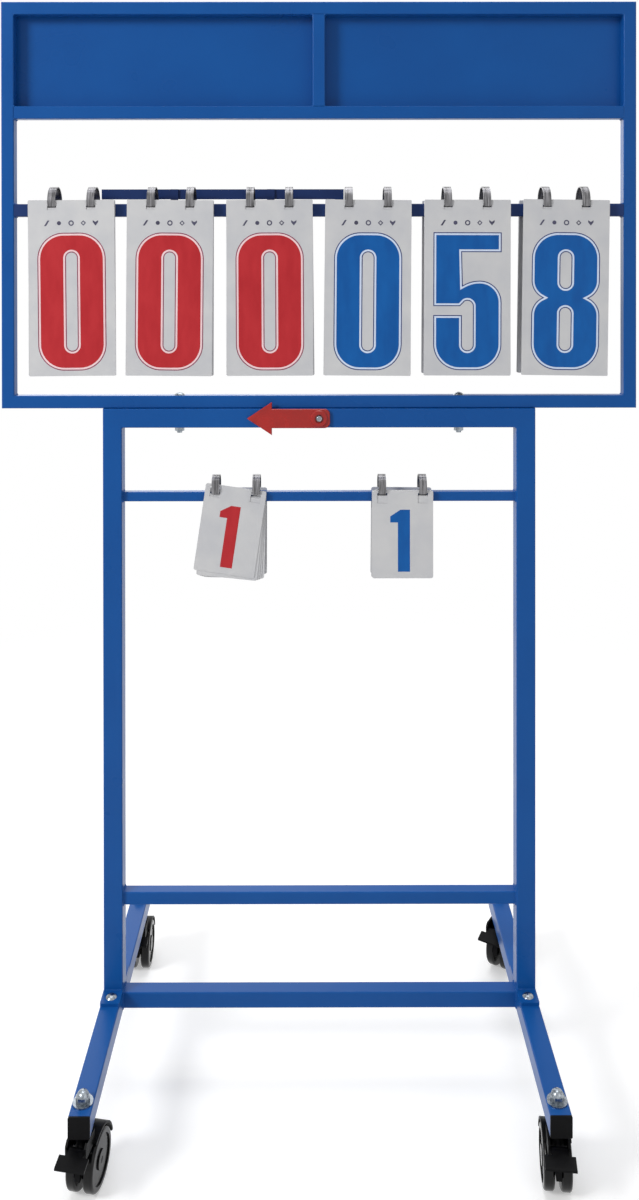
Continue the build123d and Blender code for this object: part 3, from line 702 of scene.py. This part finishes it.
# The cards still in each pile, as separate sheets that hang a little askew behind the nearest one

pileSizes = {
    "swing": 0.3,  # degrees, the most that chance turns a card
    "seed": 11,  # of the first pile; each one after it has the next number
}


def sheetDepths(node):
    # middle depth of each sheet of a pile, from the front to the back
    decimals = 5  # of a metre, a hundredth of a millimetre
    faces = sorted({round(v.co.y, decimals) for v in nodes[node].data.vertices})
    return [(front + back) / 2 for front, back in zip(faces[::2], faces[1::2])]


def pileTree():
    group = bpy.data.node_groups.new("cardPile", "GeometryNodeTree")
    group.interface.new_socket(name="Geometry", in_out="OUTPUT", socket_type="NodeSocketGeometry")
    groupInput(group, "Places", "NodeSocketGeometry")
    ids = {
        "low": groupInput(group, "Card with low slots", "NodeSocketObject"),
        "card": groupInput(group, "Card", "NodeSocketObject"),
        "turned": groupInput(group, "First turned card", "NodeSocketInt"),
        "count": groupInput(group, "Cards", "NodeSocketInt"),
        "first": groupInput(group, "First lean", "NodeSocketFloat"),
        "last": groupInput(group, "Last lean", "NodeSocketFloat"),
        "swing": groupInput(group, "Swing", "NodeSocketFloat"),
        "seed": groupInput(group, "Seed", "NodeSocketInt", pileSizes["seed"]),
        "material": groupInput(group, "Sheet", "NodeSocketMaterial"),
    }
    given = addNode(group, "NodeGroupInput")
    index = addNode(group, "GeometryNodeInputIndex")
    # each card leans by its place in the pile, and all but the first swing from there at random
    lean = addNode(
        group, "ShaderNodeMapRange",
        inputs={
            "Value": index.outputs["Index"], "From Max": given.outputs["Cards"],
            "To Min": given.outputs["First lean"], "To Max": given.outputs["Last lean"],
        },
    )
    behind = addNode(
        group, "FunctionNodeCompare", {"data_type": "INT", "operation": "GREATER_THAN"},
        {2: index.outputs["Index"]},
    )
    askew = addNode(
        group, "FunctionNodeRandomValue", {"data_type": "FLOAT"},
        {2: -1.0, 3: 1.0, "Seed": given.outputs["Seed"]},
    )
    swing = addNode(
        group, "ShaderNodeMath", {"operation": "MULTIPLY"},
        {0: askew.outputs[1], 1: given.outputs["Swing"]},
    )
    held = addNode(
        group, "ShaderNodeMath", {"operation": "MULTIPLY"},
        {0: swing.outputs[0], 1: behind.outputs["Result"]},
    )
    leaning = addNode(
        group, "ShaderNodeMath", {"operation": "ADD"},
        {0: lean.outputs["Result"], 1: held.outputs[0]},
    )
    turn = addNode(group, "ShaderNodeCombineXYZ", inputs={"Y": leaning.outputs[0]})
    sheets = addNode(group, "GeometryNodeJoinGeometry")
    # the cards in front of the rail have low slots, and the turned ones behind it whole ones
    for source, test in (("Card with low slots", "LESS_THAN"), ("Card", "GREATER_EQUAL")):
        card = addNode(
            group, "GeometryNodeObjectInfo", {"transform_space": "ORIGINAL"},
            {"Object": given.outputs[source]},
        )
        chosen = addNode(
            group, "FunctionNodeCompare", {"data_type": "INT", "operation": test},
            {2: index.outputs["Index"], 3: given.outputs["First turned card"]},
        )
        hung = addNode(
            group, "GeometryNodeInstanceOnPoints",
            inputs={
                "Points": given.outputs["Places"], "Selection": chosen.outputs["Result"],
                "Instance": card.outputs["Geometry"], "Rotation": turn.outputs["Vector"],
            },
        )
        group.links.new(hung.outputs["Instances"], sheets.inputs["Geometry"])
    real = addNode(
        group, "GeometryNodeRealizeInstances",
        inputs={"Geometry": sheets.outputs["Geometry"]},
    )
    faced = addNode(
        group, "GeometryNodeSetMaterial",
        inputs={"Geometry": real.outputs["Geometry"], "Material": given.outputs["Sheet"]},
    )
    addNode(group, "NodeGroupOutput", inputs={"Geometry": faced.outputs["Geometry"]})
    return group, ids


def patternCard(name, pattern, level, lowSlots):
    # a copy of a card with the hoops' middle as its origin
    low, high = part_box(pattern)
    centre = (low + high) / 2
    mesh = nodes[pattern].data.copy()
    mesh.transform(Matrix.Translation((-centre.x, -centre.y, -level)))
    if lowSlots:
        # the lower edge of each slot comes up to just under the strip
        rim = cardSizes["rim"] * mm
        side, foot, top = high.x - centre.x - rim, low.z - level + rim, high.z - level - rim
        inner = [v for v in mesh.vertices if abs(v.co.x) < side and foot < v.co.z < top]
        slotLow, slotHigh = min(v.co.z for v in inner), max(v.co.z for v in inner)
        for vertex in inner:
            if vertex.co.z < (slotLow + slotHigh) / 2:
                vertex.co.z += slotHigh - slotLow - cardSizes["slotRoom"] * mm
    return addObject(name, mesh)


def hangPile(stack, pattern, group, ids, seed):
    pile, level = f"{stack}_pile", hoopLevel(stack)
    low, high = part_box(pile)
    depths = sheetDepths(pile)
    first, last = hanging[stack]
    places = bpy.data.meshes.new(f"{stack}_places")
    places.from_pydata([((low.x + high.x) / 2, y, level) for y in depths], [], [])
    holder = addObject(f"{stack}_places", places)
    lowSlotted = patternCard(f"{stack}_low_slots", pattern, level, True)
    card = patternCard(f"{stack}_pattern", pattern, level, False)
    values = {
        "low": lowSlotted,
        "card": card,
        "turned": sum(y < 0 for y in depths),
        "count": len(depths),
        "first": math.radians(first),
        "last": math.radians(last),
        "swing": math.radians(pileSizes["swing"]),
        "seed": seed,
        "material": finishes["card_sheet"],
    }
    sheets = runNodes(holder, group, ids, values, f"{stack}_sheets")
    bpy.data.objects.remove(lowSlotted)
    bpy.data.objects.remove(card)
    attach(sheets, standBody)
    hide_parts(pile)


pileGroup, pileIds = pileTree()
for number, stack in enumerate(list(scoreStacks) + list(setStacks)):
    pattern = "blue_set_card" if stack in setStacks else f"{stack}_card"
    hangPile(stack, pattern, pileGroup, pileIds, pileSizes["seed"] + number)
print("piles of cards hung")


# Weld beads in the corners where tubes meet, as a row of overlapping drops along each seam

weldSizes = {
    "radius": 1.5,
    "pitch": 1.5,
    "margin": 1.5,  # a seam stops this far short of the tubes' faces
    "sides": 8,
    "rings": 5,
    "smallest": 0.8,  # of the radius
    "largest": 1.15,
    "seed": 4,
}


def weldTree():
    group = bpy.data.node_groups.new("weldBeads", "GeometryNodeTree")
    group.interface.new_socket(name="Geometry", in_out="OUTPUT", socket_type="NodeSocketGeometry")
    groupInput(group, "Seams", "NodeSocketGeometry")
    ids = {
        "radius": groupInput(group, "Bead radius", "NodeSocketFloat"),
        "pitch": groupInput(group, "Bead pitch", "NodeSocketFloat"),
        "seed": groupInput(group, "Seed", "NodeSocketInt", weldSizes["seed"]),
        "material": groupInput(group, "Paint", "NodeSocketMaterial"),
    }
    given = addNode(group, "NodeGroupInput")
    line = addNode(group, "GeometryNodeMeshToCurve", inputs={"Mesh": given.outputs["Seams"]})
    stops = addNode(
        group, "GeometryNodeResampleCurve", {"mode": "LENGTH"},
        {"Curve": line.outputs["Curve"], "Length": given.outputs["Bead pitch"]},
    )
    drop = addNode(
        group, "GeometryNodeMeshUVSphere",
        inputs={
            "Segments": weldSizes["sides"], "Rings": weldSizes["rings"],
            "Radius": given.outputs["Bead radius"],
        },
    )
    size = addNode(
        group, "FunctionNodeRandomValue", {"data_type": "FLOAT"},
        {2: weldSizes["smallest"], 3: weldSizes["largest"], "Seed": given.outputs["Seed"]},
    )
    drops = addNode(
        group, "GeometryNodeInstanceOnPoints",
        inputs={
            "Points": stops.outputs["Curve"], "Instance": drop.outputs["Mesh"],
            "Scale": size.outputs[1],
        },
    )
    real = addNode(
        group, "GeometryNodeRealizeInstances",
        inputs={"Geometry": drops.outputs["Instances"]},
    )
    painted = addNode(
        group, "GeometryNodeSetMaterial",
        inputs={"Geometry": real.outputs["Geometry"], "Material": given.outputs["Paint"]},
    )
    addNode(group, "NodeGroupOutput", inputs={"Geometry": painted.outputs["Geometry"]})
    return group, ids


def buttSeams(node):
    # all four edges at both ends of a rail that butts against wider tubes
    low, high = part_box(node)
    edges = ((low.y, low.z), (high.y, low.z), (high.y, high.z), (low.y, high.z), (low.y, low.z))
    return [[(x, y, z) for y, z in edges] for x in (low.x, high.x)]


def throughSeams(low, high, levels):
    # straight seams from front to back at both ends of a box, at each level
    margin = weldSizes["margin"] * mm
    return [
        [(x, low.y + margin, z), (x, high.y - margin, z)]
        for x in (low.x, high.x)
        for z in levels
    ]


def weldSeams():
    seams = []
    for rail in ("set_rail", "upper_cross_bar", "lower_cross_bar"):
        seams += buttSeams(rail)
    # a rail as deep as the tube it butts against is welded above and below
    for rail in ("name_board_rail", "card_rail", "name_board_divider"):
        low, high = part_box(rail)
        seams += throughSeams(low, high, (low.z, high.z))
    # the stiles to the board's own rails, and the posts to the stand's top rail and their plates
    boardLow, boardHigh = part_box("board_bottom_rail")[1].z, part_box("board_top_rail")[0].z
    seams += throughSeams(*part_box("card_rail"), (boardLow, boardHigh))
    inner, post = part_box("set_rail"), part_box("left_post")
    low, high = (Vector((inner[i].x, post[i].y, 0)) for i in (0, 1))
    seams += throughSeams(low, high, (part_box("stand_top_rail")[0].z,))
    margin = weldSizes["margin"] * mm
    for node in ("left_post", "right_post"):
        low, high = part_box(node)
        left, right = low.x + margin, high.x - margin
        seams += [[(left, y, low.z), (right, y, low.z)] for y in (low.y, high.y)]
    return seams


def weldBeads():
    mesh = bpy.data.meshes.new("weldSeams")
    points, edges = [], []
    for seam in weldSeams():
        start = len(points)
        points += seam
        edges += [(start + i, start + i + 1) for i in range(len(seam) - 1)]
    mesh.from_pydata(points, edges, [])
    group, ids = weldTree()
    values = {
        "radius": weldSizes["radius"] * mm,
        "pitch": weldSizes["pitch"] * mm,
        "seed": weldSizes["seed"],
        "material": finishes["blue_powder_coat"],
    }
    beads = runNodes(addObject("weldSeams", mesh), group, ids, values, "weld_beads")
    for polygon in beads.data.polygons:
        polygon.use_smooth = True
    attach(beads, standBody)


weldBeads()
print("tubes welded")


# Floor, backdrop, lamps and camera

stageSizes = {
    "worldLight": 0.38,
    "floorSide": 40.0,
    "floorColour": "#E4E4E4",
    "floorRoughness": 0.9,
    "floorGlow": 0.34,  # lifts the floor where it is seen, and lights nothing by itself
    "whiteFrom": 0.9,  # the floor starts to turn white this far from the middle
    "whiteFull": 2.2,
}
# round lamps that all point at the middle of the object; metres and watts
lampTarget = (0.0, 0.0, 0.9)
lamps = {
    "keyLamp": {"place": (-2.9, -2.2, 2.9), "size": 1.2, "power": 100.0},
    "fillLamp": {"place": (2.6, -3.0, 1.6), "size": 2.5, "power": 12.0},
    "topLamp": {"place": (0.0, 0.6, 4.2), "size": 3.0, "power": 78.0},
    "backLamp": {"place": (-0.9, 3.6, 2.2), "size": 2.4, "power": 22.0},
}
cameraSizes = {
    "lens": 31.56,
    "sensor": 36.0,
    "place": (-0.0037, -1.666, 1.284),
    "pitch": -0.237,  # degrees, as the next two are
    "roll": 0.055,
    "yaw": -0.09,
    "shiftX": 0.001,
    "shiftY": -0.28,
    "nearest": 0.05,
    "farthest": 60.0,
}
plainWhite = (1.0, 1.0, 1.0, 1.0)


def seenRay(tree):
    # 1 for what the camera, a reflection or a see-through surface sees, 0 for the light itself
    path = addNode(tree, "ShaderNodeLightPath")
    seen = addNode(
        tree, "ShaderNodeMath", {"operation": "MAXIMUM"},
        {0: path.outputs["Is Camera Ray"], 1: path.outputs["Is Glossy Ray"]},
    )
    through = addNode(
        tree, "ShaderNodeMath", {"operation": "MAXIMUM"},
        {0: seen.outputs[0], 1: path.outputs["Is Transmission Ray"]},
    )
    return through.outputs[0]


def studioWorld():
    world = bpy.data.worlds.new("studio")
    world.use_nodes = True
    tree = world.node_tree
    tree.nodes.clear()
    dim = addNode(
        tree, "ShaderNodeBackground",
        inputs={"Color": plainWhite, "Strength": stageSizes["worldLight"]},
    )
    white = addNode(tree, "ShaderNodeBackground", inputs={"Color": plainWhite, "Strength": 1.0})
    mix = addNode(
        tree, "ShaderNodeMixShader",
        inputs={0: seenRay(tree), 1: dim.outputs[0], 2: white.outputs[0]},
    )
    addNode(tree, "ShaderNodeOutputWorld", inputs={"Surface": mix.outputs[0]})
    scene.world = world


def paleFloor():
    # a pale floor that only loses light in the object's shade, and fades into the white backdrop
    roughness = stageSizes["floorRoughness"]
    material, tree, shader = newMaterial("paleFloor", roughness, specular=0.0)
    shader.inputs["Base Color"].default_value = srgb(stageSizes["floorColour"])
    seen = seenRay(tree)
    lift = addNode(
        tree, "ShaderNodeMath", {"operation": "MULTIPLY"},
        {0: seen, 1: stageSizes["floorGlow"]},
    )
    glow = addNode(
        tree, "ShaderNodeEmission",
        inputs={"Color": plainWhite, "Strength": lift.outputs[0]},
    )
    lifted = addNode(
        tree, "ShaderNodeAddShader",
        inputs={0: shader.outputs["BSDF"], 1: glow.outputs["Emission"]},
    )
    coords = addNode(tree, "ShaderNodeTexCoord")
    away = addNode(
        tree, "ShaderNodeVectorMath", {"operation": "LENGTH"},
        {0: coords.outputs["Object"]},
    )
    fade = addNode(
        tree, "ShaderNodeMapRange", {"interpolation_type": "SMOOTHSTEP"},
        {
            "Value": away.outputs["Value"],
            "From Min": stageSizes["whiteFrom"], "From Max": stageSizes["whiteFull"],
        },
    )
    share = addNode(
        tree, "ShaderNodeMath", {"operation": "MULTIPLY"},
        {0: fade.outputs["Result"], 1: seen},
    )
    white = addNode(tree, "ShaderNodeEmission", inputs={"Color": plainWhite, "Strength": 1.0})
    mix = addNode(
        tree, "ShaderNodeMixShader",
        inputs={0: share.outputs[0], 1: lifted.outputs["Shader"], 2: white.outputs["Emission"]},
    )
    tree.links.new(mix.outputs[0], tree.nodes["Material Output"].inputs["Surface"])
    return material


def studioFloor():
    half = stageSizes["floorSide"] / 2
    corners = [(-half, -half, 0), (half, -half, 0), (half, half, 0), (-half, half, 0)]
    mesh = bpy.data.meshes.new("floor")
    mesh.from_pydata(corners, [], [(0, 1, 2, 3)])
    mesh.materials.append(paleFloor())
    addObject("floor", mesh)


def hangLamp(name, place, size, power):
    data = bpy.data.lights.new(name, "AREA")
    data.shape = "DISK"
    data.size = size
    data.energy = power
    light = addObject(name, data)
    light.location = place
    beam = Vector(lampTarget) - Vector(place)
    light.rotation_euler = beam.to_track_quat("-Z", "Y").to_euler()


def makeCamera():
    data = bpy.data.cameras.new("camera")
    data.sensor_width = cameraSizes["sensor"]
    data.lens = cameraSizes["lens"]
    data.shift_x = cameraSizes["shiftX"]
    data.shift_y = cameraSizes["shiftY"]
    data.clip_start = cameraSizes["nearest"]
    data.clip_end = cameraSizes["farthest"]
    camera = addObject("camera", data)
    camera.location = cameraSizes["place"]
    turns = (90 + cameraSizes["pitch"], cameraSizes["roll"], cameraSizes["yaw"])
    camera.rotation_euler = [math.radians(a) for a in turns]
    scene.camera = camera


studioWorld()
studioFloor()
for name, lamp in lamps.items():
    hangLamp(name, **lamp)
makeCamera()
scene.view_settings.view_transform = "Standard"
print("stage set")
